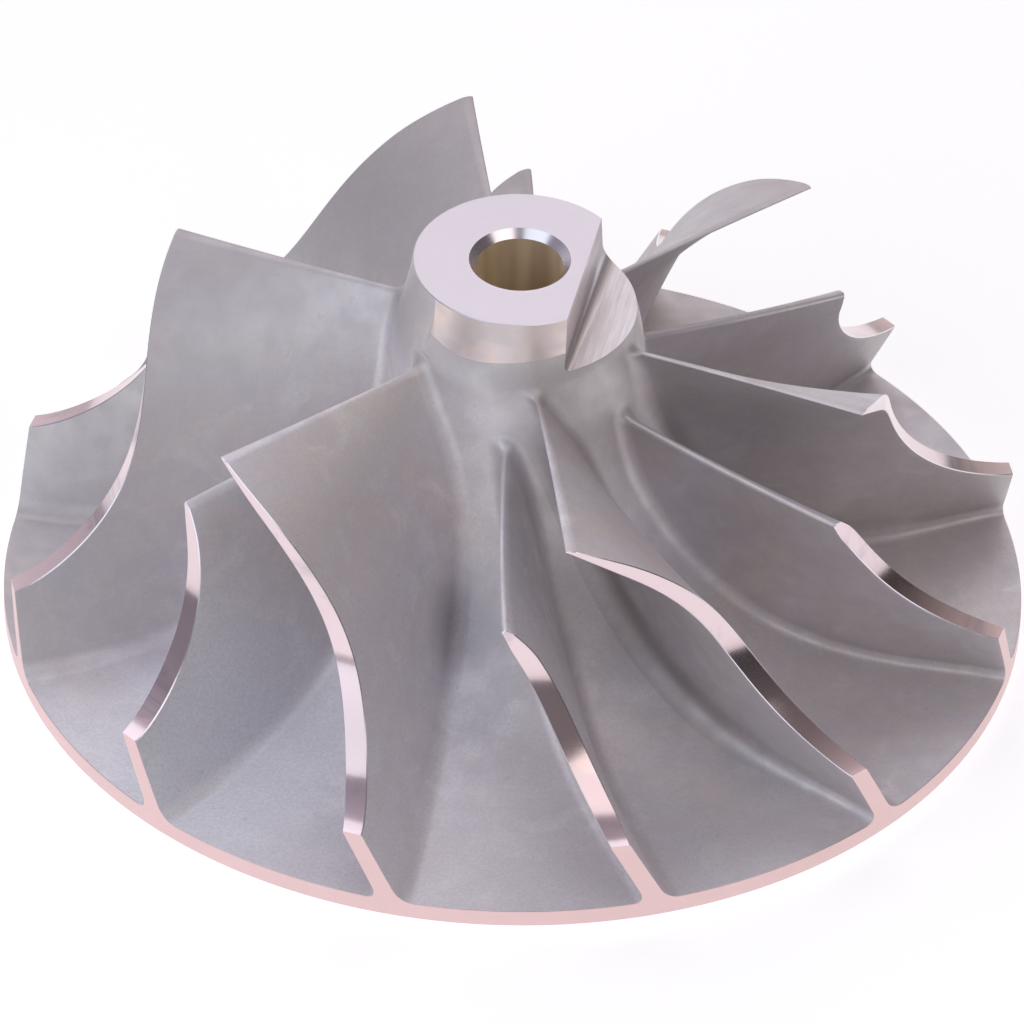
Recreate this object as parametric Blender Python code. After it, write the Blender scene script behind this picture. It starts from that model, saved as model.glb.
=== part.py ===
"""Centrifugal compressor wheel for a turbocharger.

One aluminium casting: a hub that flares from the nose into a full back disc,
six full blades and six splitter blades half way between them.  The blade tip
edges, the rim, the back and the nose face are turned, the bore runs right
through, and one side of the nose is milled away to balance the wheel.
The axis is +Z, the back boss rests on z = 0 and the nose points up.
"""

import math

import bmesh
import bpy
import numpy as np

MM = 0.001

# Sizes in millimetres
WHEEL_RADIUS = 38.0
RIM_BOTTOM = 1.2
RIM_TOP = 2.58
BOSS_RADIUS = 10.5
BOSS_FILLET = 1.0
NOSE_RADIUS = 7.9
NOSE_HEIGHT = 33.5
BAND_BOTTOM = 30.2
NECK_RADIUS = 9.3
NECK_HEIGHT = 27.8
BORE_RADIUS = 3.2
BORE_MOUTH_RADIUS = 3.77
BACK_CHAMFER = 0.35
EDGE_BREAK = 0.15
INDUCER_RADIUS = 27.43
INDUCER_HEIGHT = 27.85
OUTLET_TIP_HEIGHT = 8.27

# Exponents of the two meridian curves, hub and blade tips
HUB_CURVE = (0.678, 0.934)
TIP_CURVE = (1.55, 0.546)

# Blade wrap in radians, powers of the run along each curve from inlet to outlet
HUB_WRAP = (2.776, 2.644, -4.921, 4.575, -1.636)
TIP_WRAP = (2.7564, 1.9162, -2.9318, 2.4335, -0.8128)
BLADE_PAIRS = 6
SPLITTER_TIP_START = 0.297
SPLITTER_ROOT_START = 0.10

# Blade thickness across the metal
TIP_EDGE_INLET = 0.50
TIP_EDGE_MIDDLE = 1.30
TIP_EDGE_OUTLET = 1.07
ROOT_INLET = 1.0
ROOT_MIDDLE = 2.0
ROOT_OUTLET = 1.3
ROOT_FILLET = 1.2
ROOT_DEPTH = 1.0

# Balance cut on the nose
CUT_DIRECTION = math.radians(-11.15)
CUT_WALL = 4.86
CUT_FLOOR = 29.2
CUT_CORNER = 1.25
CUT_REACH = 14.0
CUT_HALF_LENGTH = 12.0

# Swell of the neck under the turned band, and the spacing of the stations and rows
NECK_SWELL = 0.1
ROOT_INSET = 0.35
THICKEST_POWER = 0.7
STATION_CROWDING = 1.15
ROW_SHARES = (0.3, 0.65, 1.0)
FOOT_SHARE = 0.3
CUTTER_CLEARANCE = 2.0

CURVE_SAMPLES = 721
HUB_SEGMENTS = 72
HUB_STATIONS = 17
BLADE_STATIONS = 15
SPLITTER_STATIONS = 11
CORNER_STATIONS = 5


def meridian(t, start, end, exponents):
    """Radius and height: r = r1 - (r1 - r0) cos(t)^a, z = z0 - (z0 - z1) sin(t)^b, t from 0 to a quarter turn."""
    r = end[0] - (end[0] - start[0]) * np.cos(t) ** exponents[0]
    z = start[1] - (start[1] - end[1]) * np.sin(t) ** exponents[1]
    return r, z


def run_table(start, end, exponents):
    """The meridian finely sampled, with the share of its length run at each sample."""
    r, z = meridian(np.linspace(0.0, math.pi / 2, CURVE_SAMPLES), start, end, exponents)
    run = np.concatenate([[0.0], np.cumsum(np.hypot(np.diff(r), np.diff(z)))])
    return run / run[-1], r, z


def at_run(table, u):
    """Radius and height at the share u of the run."""
    return np.interp(u, table[0], table[1]), np.interp(u, table[0], table[2])


HUB_TABLE = run_table((NECK_RADIUS, NECK_HEIGHT), (WHEEL_RADIUS, RIM_TOP), HUB_CURVE)
TIP_TABLE = run_table((INDUCER_RADIUS, INDUCER_HEIGHT), (WHEEL_RADIUS, OUTLET_TIP_HEIGHT), TIP_CURVE)


def wrap(powers, u):
    """Sum of c_i u^i."""
    return sum(c * u ** i for i, c in enumerate(powers))


def hub_outline():
    """Closed meridian outline of the hub, down its outer side from the nose to the back."""
    points = [(BORE_MOUTH_RADIUS, NOSE_HEIGHT), (NOSE_RADIUS - EDGE_BREAK, NOSE_HEIGHT)]
    points += [(NOSE_RADIUS, NOSE_HEIGHT - EDGE_BREAK), (NOSE_RADIUS, BAND_BOTTOM)]
    middle = 0.5 * (NOSE_RADIUS + NECK_RADIUS) + NECK_SWELL
    points.append((middle, 0.5 * (BAND_BOTTOM + NECK_HEIGHT)))
    for u in np.linspace(0.0, 1.0, HUB_STATIONS):
        r, z = at_run(HUB_TABLE, u)
        points.append((float(r), float(z)))
    points.append((WHEEL_RADIUS, RIM_BOTTOM))
    points.append((BOSS_RADIUS + BOSS_FILLET, RIM_BOTTOM))
    for i in range(1, CORNER_STATIONS - 1):
        a = 0.5 * math.pi * i / (CORNER_STATIONS - 1)
        r = BOSS_RADIUS + BOSS_FILLET * (1.0 - math.sin(a))
        z = RIM_BOTTOM - BOSS_FILLET * (1.0 - math.cos(a))
        points.append((r, z))
    points.append((BOSS_RADIUS, 0.0))
    points.append((BORE_RADIUS + BACK_CHAMFER, 0.0))
    points.append((BORE_RADIUS, BACK_CHAMFER))
    points.append((BORE_RADIUS, NOSE_HEIGHT - (BORE_MOUTH_RADIUS - BORE_RADIUS)))
    return points


def add_object(name, vertices, faces):
    """An object at the origin from vertices in millimetres."""
    mesh = bpy.data.meshes.new(name)
    mesh.from_pydata([tuple(MM * c for c in v) for v in vertices], [], faces)
    body = bmesh.new()
    body.from_mesh(mesh)
    bmesh.ops.recalc_face_normals(body, faces=body.faces)
    body.to_mesh(mesh)
    body.free()
    thing = bpy.data.objects.new(name, mesh)
    bpy.context.collection.objects.link(thing)
    return thing


def turned_body(name, outline, segments):
    """The closed outline turned about the axis."""
    count = len(outline)
    vertices = []
    for k in range(segments):
        a = wrap(HUB_WRAP, 1.0) + 2.0 * math.pi * k / segments
        vertices += [(r * math.cos(a), r * math.sin(a), z) for r, z in outline]
    faces = []
    for k in range(segments):
        here = k * count
        there = ((k + 1) % segments) * count
        for i in range(count):
            j = (i + 1) % count
            faces.append((here + i, here + j, there + j, there + i))
    return add_object(name, vertices, faces)


def blade_thickness(u, share, height):
    """Thickness across the metal: tip to root taper plus the round fillet 2 f (1 - sqrt(1 - (1 - h / f)^2))."""
    middle = np.sin(math.pi * np.clip(u, 0.0, 1.0) ** THICKEST_POWER)
    tip = TIP_EDGE_INLET + (TIP_EDGE_OUTLET - TIP_EDGE_INLET) * u
    tip = tip + middle * (TIP_EDGE_MIDDLE - 0.5 * (TIP_EDGE_INLET + TIP_EDGE_OUTLET))
    root = ROOT_INLET + (ROOT_OUTLET - ROOT_INLET) * u
    root = root + middle * (ROOT_MIDDLE - 0.5 * (ROOT_INLET + ROOT_OUTLET))
    rest = np.clip(1.0 - height / ROOT_FILLET, 0.0, 1.0)
    flare = 2.0 * ROOT_FILLET * (1.0 - np.sqrt(1.0 - rest ** 2))
    return root + (tip - root) * share + flare


def blade_grid(stations, tip_start, root_start):
    """Radius, height, angle and thickness on a grid of stations along the blade by rows from root to tip."""
    run = np.linspace(0.0, 1.0, stations) ** STATION_CROWDING
    tip_run = tip_start + (1.0 - tip_start) * run
    root_run = root_start + (1.0 - root_start) * run
    hub_r, hub_z = at_run(HUB_TABLE, root_run)
    tip_r, tip_z = at_run(TIP_TABLE, tip_run)
    span = np.hypot(tip_r - hub_r, tip_z - hub_z)
    depth = ROOT_DEPTH / span
    fillet = ROOT_FILLET / span
    rows = [-depth, 0.0 * span, FOOT_SHARE * fillet, fillet]
    rows += [fillet + (1.0 - fillet) * share for share in ROW_SHARES]
    share = np.stack(rows, axis=1)
    r = hub_r[:, None] + (tip_r - hub_r)[:, None] * share
    z = hub_z[:, None] + (tip_z - hub_z)[:, None] * share
    inside = np.minimum(share, 0.0) * span[:, None]
    r = r + ROOT_INSET * inside * run[:, None]
    hub_a = wrap(HUB_WRAP, root_run)
    tip_a = wrap(TIP_WRAP, tip_run)
    a = hub_a[:, None] + (tip_a - hub_a)[:, None] * share
    u = root_run[:, None] + (tip_run - root_run)[:, None] * share
    height = np.maximum(share, 0.0) * span[:, None]
    thickness = blade_thickness(np.clip(u, 0.0, 1.0), np.clip(share, 0.0, 1.0), height)
    step = np.hypot(np.gradient(r, axis=0), np.gradient(z, axis=0))
    slope = r * np.gradient(a, axis=0) / step
    half = 0.5 * thickness * np.sqrt(1.0 + slope ** 2) / r
    return r, z, a, half


def add_blade(name, turn, stations, tip_start, root_start):
    """One closed blade body: the two faces stand at the camber angle plus and minus half the thickness."""
    r, z, a, half = blade_grid(stations, tip_start, root_start)
    columns = r.shape[1]
    vertices = []
    for side in (1.0, -1.0):
        angle = a + turn + side * half
        grid = np.stack([r * np.cos(angle), r * np.sin(angle), z], axis=-1)
        vertices += [tuple(float(c) for c in point) for point in grid.reshape(-1, 3)]
    offset = r.size
    faces = []
    for i in range(stations - 1):
        for j in range(columns - 1):
            corner = i * columns + j
            face = (corner, corner + columns, corner + columns + 1, corner + 1)
            faces.append(face)
            faces.append(tuple(offset + c for c in reversed(face)))
    border = [i * columns for i in range(stations)]
    border += [(stations - 1) * columns + j for j in range(1, columns)]
    border += [i * columns + columns - 1 for i in range(stations - 2, -1, -1)]
    border += [j for j in range(columns - 2, 0, -1)]
    for here, there in zip(border, border[1:] + border[:1]):
        faces.append((here, there, offset + there, offset + here))
    return add_object(name, vertices, faces)


def add_balance_cutter(name):
    """The milling path beside the nose: a wall, a round inner corner and a level floor."""
    section = [(CUT_WALL, NOSE_HEIGHT + CUTTER_CLEARANCE)]
    for i in range(CORNER_STATIONS):
        b = 0.5 * math.pi * i / (CORNER_STATIONS - 1)
        n = CUT_WALL + CUT_CORNER * (1.0 - math.cos(b))
        section.append((n, CUT_FLOOR + CUT_CORNER * (1.0 - math.sin(b))))
    section += [(CUT_REACH, CUT_FLOOR), (CUT_REACH, NOSE_HEIGHT + CUTTER_CLEARANCE)]
    across = (math.cos(CUT_DIRECTION), math.sin(CUT_DIRECTION))
    vertices = []
    for end in (-CUT_HALF_LENGTH, CUT_HALF_LENGTH):
        vertices += [(n * across[0] - end * across[1], n * across[1] + end * across[0], z) for n, z in section]
    count = len(section)
    faces = [tuple(range(count)), tuple(range(2 * count - 1, count - 1, -1))]
    for i in range(count):
        j = (i + 1) % count
        faces.append((i, j, count + j, count + i))
    return add_object(name, vertices, faces)


def combine(body, tool, operation):
    """Join the tool to the body, or cut it away."""
    modifier = body.modifiers.new(tool.name, "BOOLEAN")
    modifier.operation = operation
    modifier.solver = "EXACT"
    modifier.object = tool
    tool.hide_render = True
    tool.display_type = "WIRE"


def add_metal(thing):
    """Cast aluminium."""
    metal = bpy.data.materials.new("cast_aluminium")
    metal.use_nodes = True
    shader = metal.node_tree.nodes["Principled BSDF"]
    shader.inputs["Base Color"].default_value = (0.50, 0.47, 0.49, 1.0)
    shader.inputs["Metallic"].default_value = 1.0
    shader.inputs["Roughness"].default_value = 0.42
    thing.data.materials.append(metal)


def main():
    for thing in list(bpy.data.objects):
        bpy.data.objects.remove(thing)
    wheel = turned_body("wheel_casting", hub_outline(), HUB_SEGMENTS)
    for pair in range(BLADE_PAIRS):
        turn = 2.0 * math.pi * pair / BLADE_PAIRS
        blade = add_blade("full_blade_%d" % pair, turn, BLADE_STATIONS, 0.0, 0.0)
        combine(wheel, blade, "UNION")
        half_way = turn + math.pi / BLADE_PAIRS
        splitter = add_blade(
            "splitter_blade_%d" % pair, half_way, SPLITTER_STATIONS, SPLITTER_TIP_START, SPLITTER_ROOT_START
        )
        combine(wheel, splitter, "UNION")
    combine(wheel, add_balance_cutter("balance_cut"), "DIFFERENCE")
    wheel.data.shade_smooth()
    wheel.data.set_sharp_from_angle(angle=math.radians(35.0))
    add_metal(wheel)


if __name__ == "__main__":
    main()
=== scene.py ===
"""Turbocharger compressor wheel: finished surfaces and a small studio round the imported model."""

import math
from collections import namedtuple

import bpy
import numpy as np
from mathutils import Matrix, Vector


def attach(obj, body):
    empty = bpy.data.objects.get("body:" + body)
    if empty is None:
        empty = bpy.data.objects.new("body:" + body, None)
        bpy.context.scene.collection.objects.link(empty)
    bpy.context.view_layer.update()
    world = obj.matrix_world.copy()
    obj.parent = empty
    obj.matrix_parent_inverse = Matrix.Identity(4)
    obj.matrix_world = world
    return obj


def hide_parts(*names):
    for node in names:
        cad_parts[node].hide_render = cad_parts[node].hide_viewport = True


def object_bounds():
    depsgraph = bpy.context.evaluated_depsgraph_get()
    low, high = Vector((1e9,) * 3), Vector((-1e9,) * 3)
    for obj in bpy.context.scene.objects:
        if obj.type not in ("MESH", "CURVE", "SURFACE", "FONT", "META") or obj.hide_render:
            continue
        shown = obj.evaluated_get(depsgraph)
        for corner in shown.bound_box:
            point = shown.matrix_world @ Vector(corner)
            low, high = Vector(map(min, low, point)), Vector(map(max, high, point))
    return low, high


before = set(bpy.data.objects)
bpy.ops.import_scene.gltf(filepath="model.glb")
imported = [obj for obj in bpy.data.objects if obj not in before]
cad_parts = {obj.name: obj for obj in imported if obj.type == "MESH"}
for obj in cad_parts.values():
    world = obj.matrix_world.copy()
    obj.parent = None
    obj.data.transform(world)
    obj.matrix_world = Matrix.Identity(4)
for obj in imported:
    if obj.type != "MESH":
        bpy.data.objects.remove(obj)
CAD_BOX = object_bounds()

bl_info = {
    "name": "Compressor wheel",
    "version": (1, 0, 0),
    "blender": (4, 5, 0),
    "location": "3D View > Sidebar > Wheel",
    "description": "Builds a cast and turned compressor wheel with full and splitter blades",
    "category": "Add Mesh",
}

MM = 0.001
CASTING = "wheel_casting"
BLADE_PAIRS = 6
QUARTER = 0.5 * math.pi

# The finished blade ends stay this far inside the casting's box (metres), and the disc this far
# inside them (millimetres)
SKIN_GAP = 0.000004
DISC_INSET = 0.004
WHEEL_RADIUS = 0.5 * (CAD_BOX[1][0] - CAD_BOX[0][0]) - SKIN_GAP

# From here on lengths are millimetres. The cast neck below the nose edge, radius and height; below
# it the hub's curve
NECK = ((8.26, 31.3), (8.72, 29.2), (9.10, 27.5), (9.33, 25.9))
HUB_START = (9.30, 27.8)
HUB_CURVE = (0.678, 0.934)
TIP_CURVE = (1.55, 0.546)

# Blade wrap in radians, powers of the run along each curve from inlet to outlet
HUB_WRAP = (2.776, 2.644, -4.921, 4.575, -1.636)
TIP_WRAP = (2.7564, 1.9162, -2.9318, 2.4335, -0.8128)

# A kind of blade: start of the run at its tip and at its root, radians that the root leads in
# front, share of the thickness at the front edge, run over which it grows to full, and times that
# the root fillet is wider on the overhanging side
BladeKind = namedtuple("BladeKind", "tip_start root_start root_lead entry growth tuck")
FULL_BLADE = BladeKind(0.005, 0.0, 0.0, 0.42, 0.12, 2.0)
SPLITTER = BladeKind(0.297, 0.10, 0.07, 0.42, 0.14, 1.0)
# Run over which a splitter's root leads
LEAD_RUN = 0.25

# Blade thickness at the tip: base, growth with the run, swell in the middle; the same at the root
TIP_WALL = (0.75, 0.70, 0.45)
ROOT_WALL = (0.95, 0.62, 0.90)

# Rows of points along a blade, how they crowd in front, rows above the fillet, the fillet's rows
# by its radius, depth of the foot under the hub
BLADE_ROWS = 150
FRONT_CROWDING = 1.9
ROWS_ABOVE_FILLET = 30
FILLET_ROWS = (0.0, 0.012, 0.05, 0.12, 0.22, 0.35, 0.5, 0.67, 0.84, 1.0)
FOOT_DEPTH = 0.12

# Points along the hub's meridian, rows on its neck and on its flow, steps round the axis
MERIDIAN_POINTS = 2400
NECK_ROWS = 71
FLOW_ROWS = 90
STEPS_ROUND = 288

# Turned band: its foot's height in the middle with the slope and the bow of that line, its left
# end in degrees with the wave of that edge, its right end in degrees, the share of the way back to
# the turned radius that it takes the cone, and the height above which it does
BAND_FOOT = 30.05
BAND_SLOPE = (0.0145, 110.0)
BAND_BOW = (0.0009, 118.0)
BAND_LEFT = -146.0
BAND_LEFT_WAVE = (3.2, 32.0, 1.9)
BAND_RIGHT = 20.0
BAND_DEPTH = 0.48
CONE_FOOT = 27.5

# Balance cut: direction across it, its wall, floor, inner corner and the corner's growth along it;
# the cutter's reach along and across its way and its top
CUT_DIRECTION = math.radians(-11.15)
CUT_WALL = 4.86
CUT_FLOOR = 29.2
CUT_CORNER = 0.86
CUT_CORNER_GROWTH = 0.065
CUTTER_REACH = 12.0
CUTTER_SIDE = 14.0
CUTTER_TOP = 36.0

# Soft panels: azimuth, elevation, distance, width and height in metres, watts, colour
PANELS = (
    ("left_softbox", -134.0, 34.0, 0.45, 0.36, 0.54, 0.56, (0.88, 0.955, 1.0)),
    ("right_softbox", -42.0, 48.0, 0.45, 0.30, 0.17, 0.19, (1.0, 0.93, 0.87)),
    ("top_softbox", -55.0, 68.0, 0.45, 0.20, 0.18, 0.11, (1.0, 0.93, 0.92)),
    ("back_softbox", 105.0, 62.0, 0.45, 0.34, 0.24, 0.20, (0.84, 0.90, 1.0)),
)
# The height over the floor that they face, in metres
LIT_HEIGHT = 0.015
# Glow of the room: azimuth, elevation and colour of each soft patch
GLOWS = (
    (-150.0, 10.0, (0.32, 0.30, 0.38)),
    (-90.0, 10.0, (0.16, 0.15, 0.16)),
    (-60.0, 45.0, (0.12, 0.11, 0.11)),
    (-15.0, 25.0, (0.06, 0.056, 0.06)),
    (60.0, 45.0, (0.37, 0.31, 0.30)),
    (90.0, 10.0, (0.55, 0.52, 0.50)),
    (120.0, 45.0, (0.32, 0.30, 0.33)),
    (140.0, 10.0, (0.34, 0.32, 0.36)),
    (175.0, 76.0, (0.24, 0.23, 0.29)),
)

# Camera: focal length and width of the picture in pixels, the point it looks at and its distance
# in metres, and its elevation and roll in degrees
LENS_PIXELS = 19941.3
FRAME_PIXELS = 1024.0
CAMERA_AIM = (-0.000174, 0.0, 0.009622)
CAMERA_DISTANCE = 1.48395
CAMERA_ELEVATION = 38.706
CAMERA_ROLL = 1.281


class WheelSizes(bpy.types.PropertyGroup):
    """Sizes of the wheel."""

    wheel_radius: bpy.props.FloatProperty(
        name="Wheel radius",
        description="Radius over the blades",
        default=WHEEL_RADIUS,
        unit="LENGTH",
    )
    rim_top: bpy.props.FloatProperty(
        name="Rim top",
        description="Height of the disc's front at the rim",
        default=0.00258,
        unit="LENGTH",
    )
    rim_bottom: bpy.props.FloatProperty(
        name="Rim bottom",
        description="Height of the disc's back face over the boss",
        default=0.0012,
        unit="LENGTH",
    )
    boss_radius: bpy.props.FloatProperty(
        name="Boss radius",
        description="Radius of the boss on the back",
        default=0.0105,
        unit="LENGTH",
    )
    nose_height: bpy.props.FloatProperty(
        name="Nose height",
        description="Height of the nose face over the boss",
        default=0.0335,
        unit="LENGTH",
    )
    nose_radius: bpy.props.FloatProperty(
        name="Turned nose radius",
        description="Radius that the nose is turned to",
        default=0.0079,
        unit="LENGTH",
    )
    bore_radius: bpy.props.FloatProperty(
        name="Bore radius",
        description="Radius of the bore for the shaft",
        default=0.0032,
        unit="LENGTH",
    )
    bore_mouth: bpy.props.FloatProperty(
        name="Bore mouth",
        description="Outer radius of the bore's chamfer",
        default=0.00377,
        unit="LENGTH",
    )
    inducer_radius: bpy.props.FloatProperty(
        name="Inlet radius",
        description="Tip radius at the leading edges",
        default=0.02743,
        unit="LENGTH",
    )
    inducer_height: bpy.props.FloatProperty(
        name="Inlet height",
        description="Height of the full blades' leading edges",
        default=0.02785,
        unit="LENGTH",
    )
    outlet_tip: bpy.props.FloatProperty(
        name="Outlet tip height",
        description="Height of the blade tips at the rim",
        default=0.00827,
        unit="LENGTH",
    )
    root_fillet: bpy.props.FloatProperty(
        name="Root fillet",
        description="Radius between blade and hub",
        default=0.0010,
        unit="LENGTH",
    )
    edge_break: bpy.props.FloatProperty(
        name="Edge break",
        description="Width of the deburred edges",
        default=0.00006,
        unit="LENGTH",
    )


class WheelFinish(bpy.types.PropertyGroup):
    """Colours of the metal and the studio."""

    cast_cool: bpy.props.FloatVectorProperty(
        name="Cast, cool",
        description="Cooler tone of the cast skin",
        default=(0.845, 0.82, 0.868),
        subtype="COLOR",
    )
    cast_warm: bpy.props.FloatVectorProperty(
        name="Cast, warm",
        description="Warmer tone of the cast skin",
        default=(0.862, 0.798, 0.79),
        subtype="COLOR",
    )
    turned: bpy.props.FloatVectorProperty(
        name="Turned",
        description="Freshly turned aluminium",
        default=(0.87, 0.83, 0.90),
        subtype="COLOR",
    )
    # Pink of the rim and blade ends: partly the turned metal's own colour, partly a painted
    # reflection of the warm surroundings
    rim: bpy.props.FloatVectorProperty(
        name="Rim",
        description="Turned rim and blade ends",
        default=(0.83, 0.61, 0.60),
        subtype="COLOR",
    )
    bore: bpy.props.FloatVectorProperty(
        name="Bore",
        description="Stained bore wall",
        default=(1.0, 0.79, 0.58),
        subtype="COLOR",
    )
    floor: bpy.props.FloatVectorProperty(
        name="Floor",
        description="Studio floor",
        default=(0.92, 0.93, 0.93),
        subtype="COLOR",
    )
    floor_glow: bpy.props.FloatProperty(
        name="Floor glow",
        description="Light that the floor gives off by itself",
        default=0.48,
        min=0.0,
    )
    light: bpy.props.FloatProperty(
        name="Light",
        description="Strength of the studio light",
        default=1.0,
        min=0.0,
        subtype="FACTOR",
    )


def smooth_step(x):
    """Rises from 0 to 1 as 3 x^2 - 2 x^3, flat outside 0 to 1."""
    x = np.clip(x, 0.0, 1.0)
    return x * x * (3.0 - 2.0 * x)


def spline(stations, count):
    """Natural cubic spline through the stations, by chord length; count points on it."""
    points = np.array(stations)
    knots = np.concatenate([[0.0], np.cumsum(np.hypot(*np.diff(points, axis=0).T))])
    step = np.diff(knots)
    size = len(points)
    left = np.eye(size)
    right = np.zeros((size, 2))
    inner = np.arange(1, size - 1)
    left[inner, inner - 1] = step[:-1]
    left[inner, inner] = 2.0 * (step[:-1] + step[1:])
    left[inner, inner + 1] = step[1:]
    slope = np.diff(points, axis=0) / step[:, None]
    right[inner] = 6.0 * np.diff(slope, axis=0)
    bend = np.linalg.solve(left, right)
    t = np.linspace(0.0, knots[-1], count)
    k = np.clip(np.searchsorted(knots, t, side="right") - 1, 0, size - 2)
    a = ((knots[k + 1] - t) / step[k])[:, None]
    b = 1.0 - a
    h2 = (step[k] ** 2 / 6.0)[:, None]
    straight = a * points[k] + b * points[k + 1]
    return straight + ((a ** 3 - a) * bend[k] + (b ** 3 - b) * bend[k + 1]) * h2


class Meridian:
    """A curve of radius and height, read by the share of the run from the inlet to the rim."""

    def __init__(self, points, inlet):
        run = np.concatenate([[0.0], np.cumsum(np.hypot(*np.diff(points, axis=0).T))])
        start = np.interp(inlet, -points[:, 1], run)
        self.length = run[-1] - start
        self.run = (run - start) / self.length
        self.points = points

    def __call__(self, u):
        return np.interp(u, self.run, self.points[:, 0]), np.interp(u, self.run, self.points[:, 1])


def quarter_curve(start, end, exponents, t):
    """Radius r1 - (r1 - r0) cos(t)^a and height z0 - (z0 - z1) sin(t)^b, t within a quarter turn."""
    r = end[0] - (end[0] - start[0]) * np.cos(t) ** exponents[0]
    z = start[1] - (start[1] - end[1]) * np.sin(t) ** exponents[1]
    return np.stack([r, z], axis=1)


def hub_meridian(sizes):
    """A spline down the neck and along the hub's curve; its run counts from the blades' inlet."""
    edge = (sizes.nose_radius / MM, (sizes.nose_height - sizes.edge_break) / MM)
    end = (sizes.wheel_radius / MM, sizes.rim_top / MM)
    flow = quarter_curve(HUB_START, end, HUB_CURVE, np.linspace(0.17, QUARTER, 40))
    return Meridian(spline(np.concatenate([[edge], NECK, flow]), MERIDIAN_POINTS), -HUB_START[1])


def tip_meridian(sizes):
    """The tips' curve, with a straight lead above the inlet."""
    start = (sizes.inducer_radius / MM, sizes.inducer_height / MM)
    end = (sizes.wheel_radius / MM, sizes.outlet_tip / MM)
    curve = quarter_curve(start, end, TIP_CURVE, np.linspace(0.0, QUARTER, 1200))
    return Meridian(np.concatenate([[(start[0], start[1] + 3.0)], curve]), -start[1])


def wrap(powers, u):
    """Angle as the sum of c_i u^i, going on straight in front of the inlet."""
    inside = np.maximum(u, 0.0)
    return sum(c * inside ** i for i, c in enumerate(powers)) + powers[1] * np.minimum(u, 0.0)


def grid_faces(rows, columns, start, closed=False):
    """Corner numbers of a grid's quads, the columns joined end to end if closed."""
    i = np.arange(rows - 1)[:, None]
    j = np.arange(columns if closed else columns - 1)[None, :]
    k = (j + 1) % columns
    corners = [i * columns + j, i * columns + k, (i + 1) * columns + k, (i + 1) * columns + j]
    return start + np.stack([c + 0 * i for c in corners], axis=-1).reshape(-1, 4)


def polar(r, angle, z):
    """Points x = r cos(angle), y = r sin(angle), z."""
    r, angle, z = np.broadcast_arrays(r, angle, z)
    return np.stack([r * np.cos(angle), r * np.sin(angle), z], axis=-1)


def write_share(mesh, name, values):
    """A value for each point of the mesh, for the finish to read."""
    layer = mesh.attributes.new(name, "FLOAT", "POINT")
    layer.data.foreach_set("value", values.astype(np.float32))


def mesh_from_grids(name, grids, materials):
    """One mesh from grids of points; points that meet are made one.

    Each grid comes with the number of its finish, whether its faces turn the other way, whether its
    columns are joined and its crease shade. Each point gets its crease shade and how far it looks
    downwards; the cast skin paints shade from both.
    """
    points, faces, numbers, creases = [], [], [], []
    count = 0
    for grid, number, flip, closed, crease in grids:
        rows, columns = grid.shape[:2]
        creases.append(np.broadcast_to(crease, (rows, columns)).reshape(-1))
        quads = grid_faces(rows, columns, count, closed)
        faces.append(quads[:, ::-1] if flip else quads)
        numbers.append(np.full(len(quads), number))
        points.append(grid.reshape(-1, 3))
        count += rows * columns
    points = np.round(np.concatenate(points), 6)
    points, first, inverse = np.unique(points, axis=0, return_index=True, return_inverse=True)
    quads = inverse.reshape(-1)[np.concatenate(faces)]
    corners = np.concatenate([quads[:, [0, 1, 2]], quads[:, [0, 2, 3]]])
    whole = np.all(corners != np.roll(corners, -1, axis=1), axis=1)
    mesh = bpy.data.meshes.new(name)
    mesh.from_pydata((points * MM).tolist(), [], corners[whole].tolist())
    for material in materials:
        mesh.materials.append(material)
    numbers = np.tile(np.concatenate(numbers), 2)[whole]
    mesh.polygons.foreach_set("material_index", numbers.astype(np.int32))
    mesh.update()
    write_share(mesh, "crease", np.concatenate(creases)[first])
    normal = np.empty(3 * len(mesh.vertices))
    mesh.vertices.foreach_get("normal", normal)
    # How far each point looks downwards, which the cast skin uses for painted shade on undersides
    write_share(mesh, "under", smooth_step((0.05 - normal[2::3]) / 0.5))
    return mesh


def add_piece(name, mesh, sharp):
    """The piece stands for the casting; edges sharper than the angle stay sharp."""
    piece = bpy.data.objects.new(name, mesh)
    bpy.context.scene.collection.objects.link(piece)
    mesh.shade_smooth()
    mesh.set_sharp_from_angle(angle=math.radians(sharp))
    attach(piece, "root")
    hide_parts(CASTING)
    return piece


# Hub, disc and nose


def band_share(angle, z, depth):
    """How far the nose is turned: 1 on the band, falling to 0 over the depth at its foot.

    It falls to 0 at both its ends too. The foot's height is f + a max(d + d1, 0) +
    b min(d + d2, 0)^2 by the degrees d round the axis.
    """
    degrees = np.degrees(angle)
    foot = BAND_FOOT + BAND_SLOPE[0] * np.maximum(degrees + BAND_SLOPE[1], 0.0)
    foot = foot + BAND_BOW[0] * np.minimum(degrees + BAND_BOW[1], 0.0) ** 2
    down = smooth_step((z - foot) / depth + 1.0)
    width, middle, length = BAND_LEFT_WAVE
    left = BAND_LEFT + width * np.cos((z - middle) / length)
    side = smooth_step((degrees - left) / 5.0) * smooth_step((BAND_RIGHT - degrees) / 16.0)
    return down * side


def nose_radius(angle, r, z, turned):
    """The cast cone, taken nearly half way back to the turned radius as far as the band goes."""
    depth = BAND_DEPTH * np.maximum(r - turned, 0.0) * (z > CONE_FOOT)
    return r - depth * band_share(angle, z, 2.4)


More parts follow.
